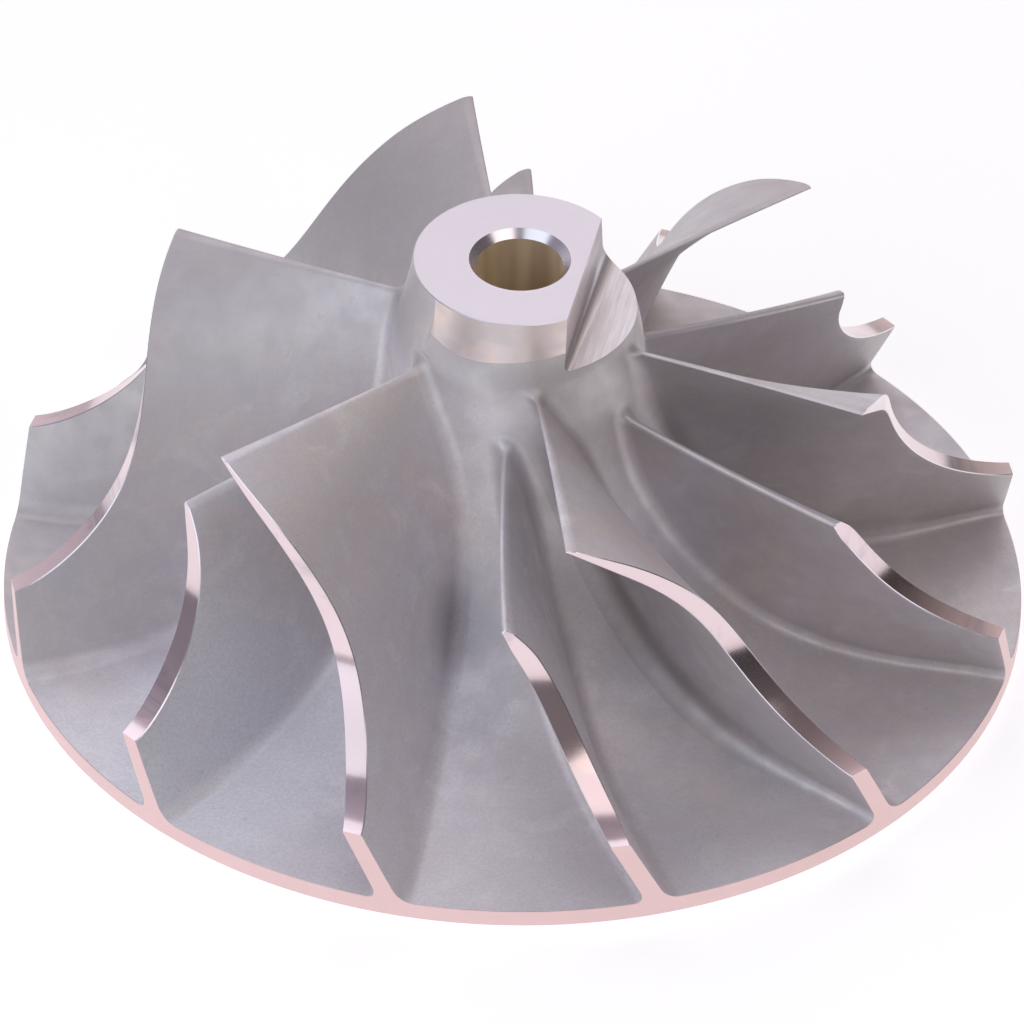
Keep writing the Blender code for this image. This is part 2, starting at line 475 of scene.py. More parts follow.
def hub_profile(sizes):
    """The closed meridian of the hub as runs of points, each with the number of its finish."""
    disc, back = sizes.wheel_radius / MM - DISC_INSET, sizes.rim_bottom / MM
    boss, top = sizes.boss_radius / MM, sizes.nose_height / MM
    bore, mouth = sizes.bore_radius / MM, sizes.bore_mouth / MM
    ease, rim_ease, fillet, back_chamfer = 0.08, 0.03, 1.0, 0.35
    hub = hub_meridian(sizes)
    neck = np.linspace(hub.run[0], 0.0, NECK_ROWS)[:-1]
    flow = np.stack(hub(np.concatenate([neck, np.linspace(0.0, 1.0, FLOW_ROWS)])), axis=1)
    rim_top = flow[-1, 1]
    flow[-1, 0] = disc - rim_ease
    a = np.linspace(0.0, QUARTER, 9)
    corner_r, corner_z = boss + fillet * (1.0 - np.sin(a)), back - fillet * (1.0 - np.cos(a))
    corner = np.stack([corner_r, corner_z], axis=1)
    lines = [
        ([(bore, back_chamfer), (bore, top - (mouth - bore))], 8, BORE),
        ([(bore, top - (mouth - bore)), (mouth, top)], 4, BRIGHT),
        ([(mouth, top), (flow[0, 0] - ease, top)], 8, TURNED),
        ([(flow[0, 0] - ease, top), tuple(flow[0])], 3, TURNED),
        (flow, 0, CAST),
        ([(disc - rim_ease, rim_top), (disc, rim_top - rim_ease)], 2, RIM),
        ([(disc, rim_top - rim_ease), (disc, back + ease)], 5, RIM),
        ([(disc, back + ease), (disc - ease, back)], 2, BRIGHT),
        ([(disc - ease, back), tuple(corner[0])], 16, TURNED),
        (corner, 0, TURNED),
        ([tuple(corner[-1]), (boss, ease)], 3, TURNED),
        ([(boss, ease), (boss - ease, 0.0)], 2, BRIGHT),
        ([(boss - ease, 0.0), (bore + back_chamfer, 0.0)], 6, TURNED),
        ([(bore + back_chamfer, 0.0), (bore, back_chamfer)], 4, BRIGHT),
    ]
    runs = []
    for points, steps, number in lines:
        points = np.array(points)
        if steps:
            share = np.linspace(0.0, 1.0, steps)[:, None]
            points = points[0] + (points[1] - points[0]) * share
        runs.append((points, number))
    return runs


def cutter_mesh():
    """The milling path: a wall, a quarter round that widens to the back, and a level floor."""
    b = np.linspace(0.0, QUARTER, 25)
    along = np.array([-CUTTER_REACH, CUTTER_REACH])[:, None]
    corner = CUT_CORNER + CUT_CORNER_GROWTH * along
    limits = (CUT_WALL, CUTTER_SIDE, CUT_FLOOR, CUTTER_TOP)
    wall, side, floor, top = (np.full_like(along, limit) for limit in limits)
    across = np.hstack([wall, CUT_WALL + corner * (1.0 - np.cos(b)), side, side])
    height = np.hstack([top, CUT_FLOOR + corner * (1.0 - np.sin(b)), floor, top])
    x = across * math.cos(CUT_DIRECTION) - along * math.sin(CUT_DIRECTION)
    y = across * math.sin(CUT_DIRECTION) + along * math.cos(CUT_DIRECTION)
    points = np.stack([x, y, height], axis=-1)
    count = points.shape[1]
    mesh = bpy.data.meshes.new("cutter")
    sides = grid_faces(2, count, 0, closed=True)[:, ::-1].tolist()
    ends = [list(range(count)), list(range(2 * count - 1, count - 1, -1))]
    mesh.from_pydata((points.reshape(-1, 3) * MM).tolist(), [], sides + ends)
    return mesh


def mill_nose(mesh):
    """The hub's mesh with the balance cut taken out of the nose and its faces marked as milled."""
    scene = bpy.context.scene
    hub = bpy.data.objects.new("uncut_hub", mesh)
    path = bpy.data.objects.new("milling_path", cutter_mesh())
    for thing in (hub, path):
        scene.collection.objects.link(thing)
    cut = hub.modifiers.new("balance cut", "BOOLEAN")
    cut.operation, cut.solver, cut.object = "DIFFERENCE", "EXACT", path
    shaped = hub.evaluated_get(bpy.context.evaluated_depsgraph_get())
    milled = bpy.data.meshes.new_from_object(shaped)
    for thing in (hub, path):
        bpy.data.objects.remove(thing)
    count = len(milled.polygons)
    centre = np.empty(3 * count)
    normal = np.empty(3 * count)
    milled.polygons.foreach_get("center", centre)
    milled.polygons.foreach_get("normal", normal)
    centre, normal = centre.reshape(-1, 3) / MM, normal.reshape(-1, 3)
    direction = np.array([math.cos(CUT_DIRECTION), math.sin(CUT_DIRECTION), 0.0])
    across = centre @ direction
    height = centre[:, 2]
    neck_r, neck_z = np.array((HUB_START, NECK[1], NECK[0], (7.9, 33.42))).T
    inside = np.hypot(centre[:, 0], centre[:, 1]) < np.interp(height, neck_z, neck_r) - 0.06
    near = 0.01
    wall = (np.abs(across - CUT_WALL) < near) & (height > CUT_FLOOR)
    floor = (np.abs(height - CUT_FLOOR) < near) & (normal[:, 2] > 0.9)
    widest = CUT_CORNER + CUTTER_REACH * CUT_CORNER_GROWTH
    turn = (across > CUT_WALL) & (across < CUT_WALL + widest) & (height < CUT_FLOOR + widest)
    turn &= inside & (height > CUT_FLOOR)
    numbers = np.empty(count, dtype=np.int32)
    milled.polygons.foreach_get("material_index", numbers)
    numbers[wall | floor | turn] = MILLED
    milled.polygons.foreach_set("material_index", numbers)
    return milled


def mark_band(mesh):
    """Writes how far each point of the hub is turned, for the finish to read."""
    place = np.empty(3 * len(mesh.vertices))
    mesh.vertices.foreach_get("co", place)
    x, y, z = (place.reshape(-1, 3) / MM).T
    write_share(mesh, "turned", band_share(np.arctan2(y, x), z, 0.25) * (z > 29.0))


def build_hub(sizes, finish):
    """Turns the profile round the axis; the nose cone gets its turned band and the balance cut."""
    angle = np.linspace(0.0, 2.0 * math.pi, STEPS_ROUND + 1)[None, :-1]
    around = np.arctan2(np.sin(angle), np.cos(angle))
    grids = []
    for points, number in hub_profile(sizes):
        r, z = points[:, :1], points[:, 1:]
        if number == CAST:
            r = nose_radius(around, r, z, sizes.nose_radius / MM)
        grids.append((polar(r, angle, z), number, True, True, 0.0))
    mesh = mill_nose(mesh_from_grids("hub_and_disc", grids, wheel_finishes(finish)))
    mark_band(mesh)
    return add_piece("hub_and_disc", mesh, 28.0)


# Blades


def blade_thickness(u, c, share, entry, growth):
    """Metal thickness: a taper from root to tip, thickest near the middle, thinned in front.

    At the tip it is t0 + t1 u + t2 sin(pi u)^0.6, at the root r0 + r1 u + r2 sin(pi u^0.75)^1.3.
    At the front edge it is the entry share of that and reaches it all at the growth's run.
    """
    u = np.clip(u, 0.0, 1.0)
    tip = TIP_WALL[0] + TIP_WALL[1] * u + TIP_WALL[2] * np.sin(math.pi * u) ** 0.6
    root = ROOT_WALL[0] + ROOT_WALL[1] * u + ROOT_WALL[2] * np.sin(math.pi * u ** 0.75) ** 1.3
    front = entry + (1.0 - entry) * np.sin(QUARTER * np.clip(c / growth, 0.0, 1.0))
    return (root + (tip - root) * np.clip(share, 0.0, 1.0) ** 0.8) * front


def round_width(height, radius):
    """Width of a quarter round at a height h over its foot: R (1 - sqrt(1 - (1 - h / R)^2))."""
    rest = np.clip(1.0 - height / radius, 0.0, 1.0)
    return radius * (1.0 - np.sqrt(1.0 - rest ** 2))


def crease_run(c):
    """Share of the painted crease shade along a blade: it fades in behind the leading edge and out
    at the rim.
    """
    return smooth_step((c - 0.08) / 0.15) * smooth_step((0.95 - c) / 0.40)


def blade_lines(kind, hub, tip, c):
    """The runs on the hub's and the tips' curve at a share c of the blade, and the points there."""
    root_run = kind.root_start + (1.0 - kind.root_start) * c
    tip_run = kind.tip_start + (1.0 - kind.tip_start) * c
    return root_run, tip_run, hub(root_run), tip(tip_run)


def blade_grids(sizes, hub, tip, kind, turn):
    """Both faces, the tip land with its broken edges, the rim face and the sole of one blade.

    A point's radius, height and angle run straight from the hub's curve to the tips' curve. The
    faces stand at that angle plus and minus half the thickness over the radius. Near the root the
    thickness grows by a quarter round, and the leading edge runs forward by as much. In front the
    half thickness t follows a rounded nose, t sqrt(1 - (1 - w)^2) with w from 0 to 1 over the
    nose's length.
    """
    fillet, ease = sizes.root_fillet / MM, sizes.edge_break / MM
    turned = sizes.nose_radius / MM
    along = np.linspace(0.0, 1.0, BLADE_ROWS)[:, None] ** FRONT_CROWDING

    # Shares of the way from root to tip: the sole, the fillet's rows, the rows above, the tip
    _, _, foot, head = blade_lines(kind, hub, tip, along)
    span = np.hypot(head[0] - foot[0], head[1] - foot[1])
    low = np.concatenate([[-FOOT_DEPTH], fillet * np.array(FILLET_ROWS)])[None, :] / span
    rows_above = np.linspace(0.0, 1.0, ROWS_ABOVE_FILLET)[None, 1:]
    high = low[:, -1:] + (1.0 - ease / span - low[:, -1:]) * rows_above
    share = np.concatenate([low, high, np.ones_like(span)], axis=1)
    height = np.maximum(share * span, 0.0)

    # The middle surface; its root runs forward in the fillet and follows the nose's turned band
    flare = round_width(height, fillet)
    lead = flare / (hub.length * (1.0 - kind.root_start))
    c = along - lead * (1.0 - along)
    root_run, tip_run, foot, head = blade_lines(kind, hub, tip, c)
    r = foot[0] + (head[0] - foot[0]) * share
    z = foot[1] + (head[1] - foot[1]) * share
    angle = wrap(HUB_WRAP, root_run) + kind.root_lead * np.clip(1.0 - c / LEAD_RUN, 0.0, 1.2) ** 2
    angle = turn + angle + (wrap(TIP_WRAP, tip_run) - angle) * share
    around = np.arctan2(np.sin(angle), np.cos(angle))
    cut = foot[0] - nose_radius(around, foot[0], z, turned)
    r = r - cut * smooth_step(1.0 - height / (1.5 * fillet))

    # How far the faces stand off it, as angles; the overhanging one has the wider root in mid run
    u = root_run + (tip_run - root_run) * share
    step = np.hypot(np.gradient(r, axis=0), np.gradient(z, axis=0))
    slope = r * np.gradient(angle, axis=0) / step
    walk = np.cumsum(step * np.sqrt(1.0 + slope ** 2), axis=0)
    walk = walk - walk[:1]
    half = 0.5 * blade_thickness(u, c, share, kind.entry, kind.growth)
    nose = np.clip(walk / (1.8 * half + 0.9 * flare)[:1], 0.0, 1.0)
    stretch = np.sqrt(1.0 + slope ** 2) / r
    wide = round_width(height, kind.tuck * fillet)
    plain = np.maximum(smooth_step(1.0 - c / 0.12), smooth_step((c - 0.65) / 0.30))
    sides = []
    for grown in (half + flare, half + wide + (flare - wide) * plain):
        reach = grown * np.sqrt(1.0 - (1.0 - nose) ** 2) * stretch
        reach[:, -1] = np.maximum(reach[:, -1] - ease * stretch[:, -1], 0.35 * reach[:, -1])
        sides.append(reach)

    first, last = angle + sides[0], angle - sides[1]
    upper = polar(r, first, z)
    lower = polar(r, last, z)
    across = np.linspace(0.0, 1.0, 9)
    land = polar(r[:, -1:], first[:, -1:] + (last - first)[:, -1:] * across, z[:, -1:])
    end = first[-1][:, None] + (last - first)[-1][:, None] * across
    edge = polar(r[-1][:, None], end, z[-1][:, None])
    sole = polar(r[:, :1], first[:, :1] + (last - first)[:, :1] * across, z[:, :1])
    # Painted shade along the root crease of the overhanging face, on full blades only (tuck above 1)
    crease = (kind.tuck - 1.0) * smooth_step(1.0 - np.abs(height - 1.0) / 1.6) * crease_run(c)
    return [
        (upper[:, :-1], CAST, False, False, 0.0),
        (upper[:, -2:], BRIGHT, False, False, 0.0),
        (lower[:, :-1], CAST, True, False, crease[:, :-1]),
        (lower[:, -2:], BRIGHT, True, False, 0.0),
        (land, TIP, False, False, 0.0),
        (edge, RIM, False, False, 0.0),
        (sole, CAST, True, False, 0.0),
    ]


def build_blades(sizes, finish, label, kind, turn):
    """Six like blades, one every 60 degrees."""
    hub, tip = hub_meridian(sizes), tip_meridian(sizes)
    for k in range(BLADE_PAIRS):
        place = turn + 2.0 * math.pi * k / BLADE_PAIRS
        grids = blade_grids(sizes, hub, tip, kind, place)
        name = "%s_%d" % (label, k + 1)
        add_piece(name, mesh_from_grids(name, grids, wheel_finishes(finish)), 30.0)


# Finishes


class Number:
    """A value on a socket: +, -, * and ** on it add the Math nodes."""

    def __init__(self, bench, socket):
        self.bench = bench
        self.socket = socket

    def _sum(self, operation, first, second):
        return self.bench.node("ShaderNodeMath", {"operation": operation}, {0: first, 1: second})

    def __add__(self, other):
        return self._sum("ADD", self, other)

    def __sub__(self, other):
        return self._sum("SUBTRACT", self, other)

    def __rsub__(self, other):
        return self._sum("SUBTRACT", other, self)

    def __mul__(self, other):
        return self._sum("MULTIPLY", self, other)

    def __pow__(self, other):
        return self._sum("POWER", self, other)

    __radd__ = __add__
    __rmul__ = __mul__


class Bench:
    """The nodes of one finish or of the sky. Lengths in a finish are millimetres on the wheel."""

    def __init__(self, owner, reading="Object", unit=MM):
        owner.use_nodes = True
        self.owner = owner
        self.tree = owner.node_tree
        self.tree.nodes.clear()
        place = self.node("ShaderNodeTexCoord", {}, {}, reading)
        self.place = self.vector("SCALE", {0: place, "Scale": 1.0 / unit})

    def node(self, kind, settings, sockets, output=0):
        """Any node: its settings first, then the values or links of its sockets."""
        made = self.tree.nodes.new(kind)
        for key, value in settings.items():
            setattr(made, key, value)
        for key, value in sockets.items():
            if isinstance(value, Number):
                self.tree.links.new(value.socket, made.inputs[key])
            else:
                made.inputs[key].default_value = value
        return Number(self, made.outputs[output]) if made.outputs else None

    def vector(self, operation, sockets, output=0):
        """A Vector Math node."""
        return self.node("ShaderNodeVectorMath", {"operation": operation}, sockets, output)

    def share(self, name):
        """A value that the piece has at each of its points."""
        return self.node("ShaderNodeAttribute", {"attribute_name": name}, {}, "Fac")

    def noise(self, vector, size, detail=2.0, rough=0.5, distortion=0.0):
        """Noise with features of the given size, from 0 to 1."""
        sockets = {"Vector": vector, "Scale": 1.0 / size, "Detail": detail, "Roughness": rough}
        sockets["Distortion"] = distortion
        return self.node("ShaderNodeTexNoise", {}, sockets, "Fac")

    def ramp(self, value, low, high):
        """Rises smoothly from 0 at low to 1 at high; low may be the larger one."""
        sockets = {"Value": value, "From Min": low, "From Max": high}
        return self.node("ShaderNodeMapRange", {"interpolation_type": "SMOOTHSTEP"}, sockets)

    def mix(self, share, first, second):
        """Colour from first to second."""
        made = self.tree.nodes.new("ShaderNodeMix")
        made.data_type = "RGBA"
        named = {"Factor_Float": share, "A_Color": first, "B_Color": second}
        for socket in made.inputs:
            if socket.identifier in named:
                value = named[socket.identifier]
                if isinstance(value, Number):
                    self.tree.links.new(value.socket, socket)
                else:
                    socket.default_value = value if isinstance(value, float) else (*value[:3], 1.0)
        return Number(self, next(s for s in made.outputs if s.identifier == "Result_Color"))

    def axis_distance(self):
        """Distance from the wheel's axis and height, as a point (r, z, 0) and as two values."""
        parts = self.tree.nodes.new("ShaderNodeSeparateXYZ")
        self.tree.links.new(self.place.socket, parts.inputs[0])
        x, y, z = (Number(self, parts.outputs[i]) for i in range(3))
        r = (x * x + y * y) ** 0.5
        return self.node("ShaderNodeCombineXYZ", {}, {0: r, 1: z}), r, z

    def along(self, vector, way):
        """How far a point lies along a way."""
        return self.vector("DOT_PRODUCT", {0: vector, 1: way}, "Value")

    def away(self, vector, centre):
        """Distance of a point from a centre."""
        return self.vector("DISTANCE", {0: vector, 1: centre}, "Value")

    def bump(self, height, strength, distance):
        """Raises the surface by the height times the distance in millimetres."""
        sockets = {"Height": height, "Strength": strength, "Distance": distance * MM}
        return self.node("ShaderNodeBump", {}, sockets)

    def finish(self, colour, roughness, normal, metallic=1.0, glow=0.0):
        """The shader and the material's output; gives the material back."""
        sockets = {"Base Color": colour, "Roughness": roughness, "Normal": normal}
        sockets.update({"Metallic": metallic, "Emission Strength": glow})
        if not isinstance(colour, Number):
            sockets["Base Color"] = (*colour[:3], 1.0)
        shader = self.node("ShaderNodeBsdfPrincipled", {}, sockets)
        self.node("ShaderNodeOutputMaterial", {}, {"Surface": shader})
        return self.owner


CAST, TURNED, TIP, BRIGHT, MILLED, BORE, RIM = range(7)

# The cast skin is part metal, part dull oxide: it shines less than the cut faces
CAST_METALLIC = 0.72
# Painted shade and light: the skin is darker towards the back, the top and the left, and lighter low
# down in front
BACK_SHADE_SIDE = (0.25, 0.80, 0.85)
LEFT_SHADE_SIDE = (-0.70, 0.65, 0.30)
FRONT_LIGHT_SIDE = (-0.25, -0.95, -0.20)
# The turned band under the nose face has a tan tone
TANNED = (0.88, 0.73, 0.66)
# Painted light and shade on the cast skin: a pool of light low on the left in front, then two
# patches of painted shade; centre, distances where it starts and is full, share, colour
PAINTED_SPOTS = (
    ((-22.5, -23.0, 5.0), 17.0, 4.0, 0.85, (0.93, 0.95, 1.0)),
    ((5.0, -9.0, 23.0), 9.0, 2.0, 0.60, (0.46, 0.42, 0.41)),
    ((-4.9, -14.0, 10.2), 5.5, 0.5, 0.70, (0.30, 0.29, 0.33)),
)


def shade(colour, factor):
    """The colour times a factor."""
    return tuple(min(1.0, c * factor) for c in colour[:3])


def cast_skin(finish):
    """Cast aluminium: cloudy grey, fine grain, pits, a painted pool of light, painted shade in
    spots, on the sides, undersides, neck and creases, and the turned band.
    """
    bench = Bench(bpy.data.materials.new("cast_skin"))
    place = bench.place
    cool, warm = finish.cast_cool, finish.cast_warm
    cloud = bench.ramp(bench.noise(place, 10.0, 3.0, 0.55, 0.8), 0.36, 0.64)
    mottle = bench.ramp(bench.noise(place, 2.4, 3.0, 0.65), 0.34, 0.68)
    smear = bench.ramp(bench.noise(place, 5.0, 3.0, 0.5, 1.2), 0.55, 0.75)
    grain = bench.noise(place, 0.22, 3.0, 0.6)
    flecks = bench.ramp(bench.noise(place, 0.8, 3.0, 0.6, 0.4), 0.48, 0.70) * smear
    pits = bench.ramp(bench.noise(place, 0.6, 2.0, 0.5), 0.33, 0.26)
    rings, radius, height = bench.axis_distance()
    # Mask for painted shade on the neck under the nose
    neck = bench.ramp(height, 25.5, 28.5) * bench.ramp(radius, 10.6, 9.5)
    # Masks for painted shade towards the back and the left, and for painted light low down in front
    back_shade = bench.ramp(bench.along(place, BACK_SHADE_SIDE), 5.0, 44.0)
    left_shade = bench.ramp(bench.along(place, LEFT_SHADE_SIDE), 12.0, 30.0)
    front_light = bench.ramp(bench.along(place, FRONT_LIGHT_SIDE), 10.0, 34.0)

    tone = bench.mix(cloud, cool, warm)
    tone = bench.mix(mottle * 0.42, tone, shade(cool, 0.77))
    tone = bench.mix(smear * 0.50, tone, shade(cool, 1.22))
    tone = bench.mix(flecks * 0.35, tone, shade(cool, 1.35))
    # Painted light: lighter low down in front
    tone = bench.mix(front_light * 0.55, tone, shade(cool, 1.18))
    # Painted spots: a pool of light low on the left and two patches of shade in the passages
    for centre, start, full, share, colour in PAINTED_SPOTS:
        tone = bench.mix(bench.ramp(bench.away(place, centre), start, full) * share, tone, colour)
    # Painted shade: darker towards the back, the top and the left
    tone = bench.mix(back_shade * 0.55, tone, shade(warm, 0.66))
    tone = bench.mix(left_shade * 0.50, tone, shade(warm, 0.62))
    # Painted shade on faces that look downwards
    tone = bench.mix(bench.share("under") * 0.55, tone, shade(warm, 0.50))
    # Painted shade: the neck under the nose is darker and warmer
    tone = bench.mix(neck * 0.65, tone, shade(warm, 0.64))
    tone = bench.mix(bench.ramp(grain, 0.40, 0.60) * 0.30, tone, shade(cool, 0.80))
    # Painted shade along the blades' root creases
    tone = bench.mix(bench.share("crease") * 0.75, tone, shade(warm, 0.34))
    tone = bench.mix(pits * 0.22, tone, shade(warm, 0.60))

    band = bench.ramp(bench.share("turned"), 0.35, 0.65)
    lines = bench.noise(rings, 0.11, 2.0, 0.7)
    passes = bench.noise(rings, 0.40, 2.0, 0.6) * 0.15 + bench.noise(place, 2.6, 2.0) * 0.85
    passes = bench.ramp(passes, 0.42, 0.62)
    worn = bench.ramp(bench.noise(place, 3.0, 2.0), 0.4, 0.6)
    patch = bench.mix(0.40 + 0.50 * passes, shade(finish.turned, 0.88), TANNED)
    patch = bench.mix(worn * 0.5, patch, shade(warm, 0.74))
    tone = bench.mix(band, tone, patch)

    wave = bench.noise(place, 3.5, 2.0, 0.5)
    rough = 0.48 + 0.09 * mottle - 0.05 * smear + 0.06 * (grain - 0.5)
    rough = rough * (1.0 - band) + band * (0.36 + 0.12 * lines - 0.10 * passes)
    skin = (grain * 0.28 + wave * 1.6 + pits * -0.4) * (1.0 - band) + lines * band * 0.6
    return bench.finish(tone, rough, bench.bump(skin, 0.55, 0.035), CAST_METALLIC)


def turned_metal(finish):
    """Faced on the lathe: very fine rings about the axis and a faint cloud."""
    bench = Bench(bpy.data.materials.new("turned_metal"))
    rings, _, _ = bench.axis_distance()
    fine = bench.noise(rings, 0.07, 2.0, 0.6)
    broad = bench.noise(rings, 0.6, 2.0, 0.6)
    cloud = bench.noise(bench.place, 3.0, 3.0, 0.6)
    bright, dim = shade(finish.turned, 1.05), shade(finish.turned, 0.92)
    tone = bench.mix(0.35 * cloud + 0.25 * broad, bright, dim)
    rough = 0.30 + 0.10 * fine + 0.06 * cloud
    return bench.finish(tone, rough, bench.bump(fine + 0.5 * broad, 0.30, 0.008))


def rim_metal(finish):
    """The rim and the blade ends, turned in one pass: fine lines round the wheel."""
    bench = Bench(bpy.data.materials.new("rim_metal"))
    rings, _, _ = bench.axis_distance()
    fine = bench.noise(rings, 0.07, 2.0, 0.6)
    cloud = bench.noise(bench.place, 4.0, 3.0, 0.6)
    # The rim colour holds a painted pink reflection of the warm surroundings
    tone = bench.mix(0.5 * cloud, finish.rim, shade(finish.rim, 0.88))
    return bench.finish(tone, 0.30 + 0.12 * fine, bench.bump(fine, 0.35, 0.010))


def tip_metal(finish):
    """Blade tips, skimmed by a form tool: bright, with darker smeared patches and fine lines."""
    bench = Bench(bpy.data.materials.new("tip_metal"))
    rings, _, _ = bench.axis_distance()
    fine = bench.noise(rings, 0.09, 3.0, 0.7)
    chatter = bench.noise(rings, 0.8, 1.0, 0.5)
    smear = bench.ramp(bench.noise(bench.place, 7.0, 3.0, 0.6, 0.5), 0.54, 0.64)
    streak = bench.ramp(bench.noise(rings, 0.5, 3.0, 0.7), 0.35, 0.65)
    # The rim colour brings its painted pink reflection onto the tips
    tone = bench.mix(0.20 + 0.5 * fine, shade(finish.rim, 1.06), shade(finish.turned, 0.84))
    tone = bench.mix(smear * (0.20 + 0.35 * streak), tone, shade(finish.turned, 0.50))
    rough = 0.10 + 0.08 * fine
    return bench.finish(tone, rough, bench.bump(fine * 0.3 + chatter, 0.30, 0.008))


def bright_metal(finish):
    """Broken edges and the bore's chamfer, cut with a sharp tool."""
    bench = Bench(bpy.data.materials.new("bright_metal"))
    rings, _, _ = bench.axis_distance()
    fine = bench.noise(rings, 0.06, 2.0, 0.6)
    tone = shade(finish.turned, 1.04)
    return bench.finish(tone, 0.18 + 0.08 * fine, bench.bump(fine, 0.2, 0.004))


def milled_metal(finish):
    """The balance cut: straight feed lines along the cutter's way."""
    bench = Bench(bpy.data.materials.new("milled_metal"))
    turned = bench.node(
        "ShaderNodeMapping", {"vector_type": "TEXTURE"},
        {"Vector": bench.place, "Rotation": (0.0, 0.0, CUT_DIRECTION), "Scale": (1.0, 20.0, 1.0)},
    )
    feed = bench.noise(turned, 0.16, 3.0, 0.7)
    broad = bench.noise(turned, 0.9, 2.0, 0.5)
    worn = bench.ramp(0.5 * feed + 0.5 * broad, 0.30, 0.70)
    tone = bench.mix(worn, shade(finish.cast_cool, 1.10), shade(finish.cast_warm, 0.84))
    rough = 0.27 + 0.16 * feed
    return bench.finish(tone, rough, bench.bump(feed + 0.6 * broad, 0.45, 0.015))


def bore_metal(finish):
    """Reamed bore, stained by oil: streaks along the bore over faint rings."""
    bench = Bench(bpy.data.materials.new("bore_metal"))
    streaks = bench.node(
        "ShaderNodeMapping", {"vector_type": "POINT"},
        {"Vector": bench.place, "Scale": (1.0, 1.0, 0.12)},
    )
    stain = bench.ramp(bench.noise(streaks, 2.4, 2.0, 0.5), 0.3, 0.7)
    rings, _, _ = bench.axis_distance()
    fine = bench.noise(rings, 0.12, 2.0, 0.6)
    tone = bench.mix(stain, shade(finish.bore, 1.12), shade(finish.bore, 0.66))
    return bench.finish(tone, 0.30 + 0.14 * stain + 0.08 * fine, bench.bump(fine, 0.3, 0.008), 0.4)


FINISHES = (cast_skin, turned_metal, tip_metal, bright_metal, milled_metal, bore_metal, rim_metal)


def wheel_finishes(finish):
    """All the wheel's finishes in the order of their numbers, each made once."""
    for maker in FINISHES:
        if maker.__name__ not in bpy.data.materials:
            maker(finish)
    return [bpy.data.materials[maker.__name__] for maker in FINISHES]


# Studio


def add_floor(finish):
    """A wide level sheet under the boss, matt, with a faint tooth."""
    side = 6.0
    corners = [(-side, -side, 0.0), (side, -side, 0.0), (side, side, 0.0), (-side, side, 0.0)]
    mesh = bpy.data.meshes.new("studio_floor")
    mesh.from_pydata(corners, [], [(0, 1, 2, 3)])
    bench = Bench(bpy.data.materials.new("floor_paper"))
    tooth = bench.noise(bench.place, 1.2, 3.0)
    tone = bench.mix(0.04 * tooth, finish.floor, shade(finish.floor, 0.9))
    grain = bench.bump(tooth, 0.02, 0.02)
    mesh.materials.append(bench.finish(tone, 0.8, grain, 0.0, finish.floor_glow))
    floor = bpy.data.objects.new("studio_floor", mesh)
    bpy.context.scene.collection.objects.link(floor)


def direction(azimuth, elevation):
    """Unit vector at an angle round the axis, from +X to +Y, and an elevation, both in degrees."""
    a, e = math.radians(azimuth), math.radians(elevation)
    return Vector((math.cos(a) * math.cos(e), math.sin(a) * math.cos(e), math.sin(e)))


def add_panel(name, azimuth, elevation, distance, width, height, power, colour):
    """A soft panel that faces the wheel."""
    data = bpy.data.lights.new(name, "AREA")
    data.shape, data.size, data.size_y = "RECTANGLE", width, height
    data.energy, data.color = power, colour
    panel = bpy.data.objects.new(name, data)
    towards = direction(azimuth, elevation)
    panel.location = towards * distance + Vector((0.0, 0.0, LIT_HEIGHT))
    panel.rotation_mode = "QUATERNION"
    panel.rotation_quaternion = towards.to_track_quat("Z", "Y")
    panel.visible_camera = False
    bpy.context.scene.collection.objects.link(panel)


def add_surroundings(strength, glows):
    """A sky of soft patches: each adds its colour times ((1 + cos a) / 2)^12, a off its centre."""
    world = bpy.data.worlds.new("soft_surroundings")
    bench = Bench(world, "Generated", 1.0)
    total = None
    for azimuth, elevation, colour in glows:
        centre = tuple(direction(azimuth, elevation))
        near = bench.along(bench.place, centre)
        fall = (0.5 * near + 0.5) ** 12.0
        patch = bench.vector("SCALE", {0: colour, "Scale": fall})
        total = bench.vector("ADD", {0: total, 1: patch}) if total else patch
    sky = bench.node("ShaderNodeBackground", {}, {"Color": total, "Strength": strength})
    bench.node("ShaderNodeOutputWorld", {}, {"Surface": sky})
    bpy.context.scene.world = world


def add_lights(finish):
    """The soft panels and the glow of the room."""
    for name, azimuth, elevation, distance, width, height, power, colour in PANELS:
        add_panel(name, azimuth, elevation, distance, width, height, power * finish.light, colour)
    add_surroundings(finish.light, GLOWS)


def add_camera():
    """A long lens that looks along +Y and down on the wheel, rolled a little."""
    data = bpy.data.cameras.new("camera")
    data.sensor_width = 36.0
    data.lens = data.sensor_width * LENS_PIXELS / FRAME_PIXELS
    data.clip_start, data.clip_end = 0.05, 50.0
    camera = bpy.data.objects.new("camera", data)
    elevation, roll = math.radians(CAMERA_ELEVATION), math.radians(CAMERA_ROLL)
    back = Vector((0.0, -math.cos(elevation), math.sin(elevation)))
    across = Vector((1.0, 0.0, 0.0))
    upward = back.cross(across)
    x_axis = across * math.cos(roll) + upward * math.sin(roll)
    y_axis = upward * math.cos(roll) - across * math.sin(roll)
    camera.location = Vector(CAMERA_AIM) + back * CAMERA_DISTANCE
    turn = Matrix((x_axis, y_axis, back)).transposed()
    camera.rotation_mode = "QUATERNION"
    camera.rotation_quaternion = turn.to_quaternion()
    scene = bpy.context.scene
    scene.collection.objects.link(camera)
    scene.camera = camera
    scene.view_settings.view_transform = "Standard"


# Operators, panel and main


class WHEEL_OT_hub(bpy.types.Operator):
    """Hub, back disc, nose, bore and balance cut"""

    bl_idname = "wheel.hub"
    bl_label = "Hub and disc"

    def execute(self, context):
        build_hub(context.scene.wheel_sizes, context.scene.wheel_finish)
        return {"FINISHED"}


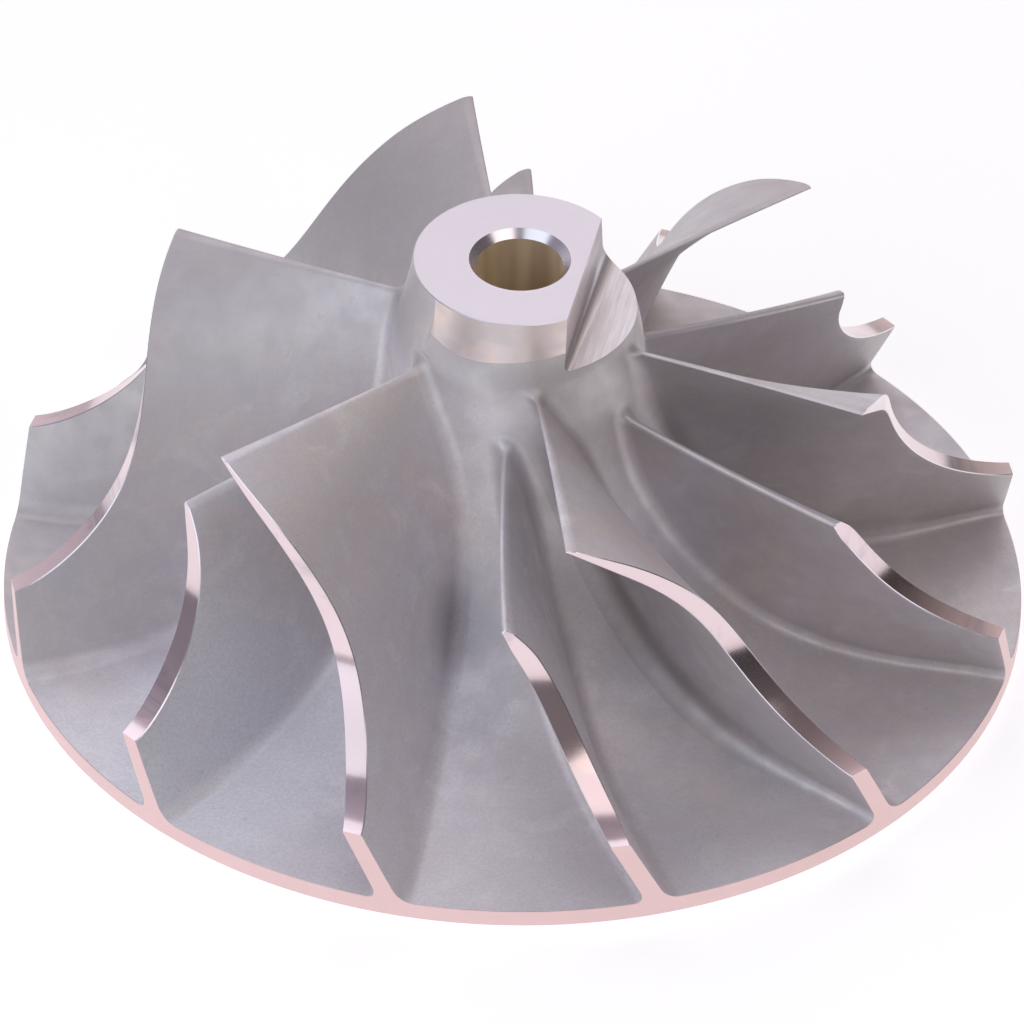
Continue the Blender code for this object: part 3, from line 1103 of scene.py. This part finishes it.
class WHEEL_OT_full_blades(bpy.types.Operator):
    """Six full blades"""

    bl_idname = "wheel.full_blades"
    bl_label = "Full blades"

    def execute(self, context):
        scene = context.scene
        build_blades(scene.wheel_sizes, scene.wheel_finish, "full_blade", FULL_BLADE, 0.0)
        return {"FINISHED"}


class WHEEL_OT_splitters(bpy.types.Operator):
    """Six splitter blades half way between the full ones"""

    bl_idname = "wheel.splitters"
    bl_label = "Splitter blades"

    def execute(self, context):
        scene = context.scene
        half = math.pi / BLADE_PAIRS
        build_blades(scene.wheel_sizes, scene.wheel_finish, "splitter_blade", SPLITTER, half)
        return {"FINISHED"}


class WHEEL_OT_studio(bpy.types.Operator):
    """Floor, soft light and camera"""

    bl_idname = "wheel.studio"
    bl_label = "Studio"

    def execute(self, context):
        add_floor(context.scene.wheel_finish)
        add_lights(context.scene.wheel_finish)
        add_camera()
        return {"FINISHED"}


class WHEEL_PT_panel(bpy.types.Panel):
    """Sizes, finishes and the steps that build the wheel"""

    bl_label = "Compressor wheel"
    bl_idname = "WHEEL_PT_panel"
    bl_space_type = "VIEW_3D"
    bl_region_type = "UI"
    bl_category = "Wheel"

    def draw(self, context):
        column = self.layout.column()
        for group in (context.scene.wheel_sizes, context.scene.wheel_finish):
            for name in group.__annotations__:
                column.prop(group, name)
        for operator in OPERATORS:
            column.operator(operator.bl_idname)


OPERATORS = (WHEEL_OT_hub, WHEEL_OT_full_blades, WHEEL_OT_splitters, WHEEL_OT_studio)
CLASSES = (WheelSizes, WheelFinish, *OPERATORS, WHEEL_PT_panel)


def register():
    for cls in CLASSES:
        bpy.utils.register_class(cls)
    bpy.types.Scene.wheel_sizes = bpy.props.PointerProperty(type=WheelSizes)
    bpy.types.Scene.wheel_finish = bpy.props.PointerProperty(type=WheelFinish)


def unregister():
    del bpy.types.Scene.wheel_finish
    del bpy.types.Scene.wheel_sizes
    for cls in reversed(CLASSES):
        bpy.utils.unregister_class(cls)


def main():
    register()
    bpy.ops.wheel.hub()
    bpy.ops.wheel.full_blades()
    bpy.ops.wheel.splitters()
    bpy.ops.wheel.studio()


if __name__ == "__main__":
    main()
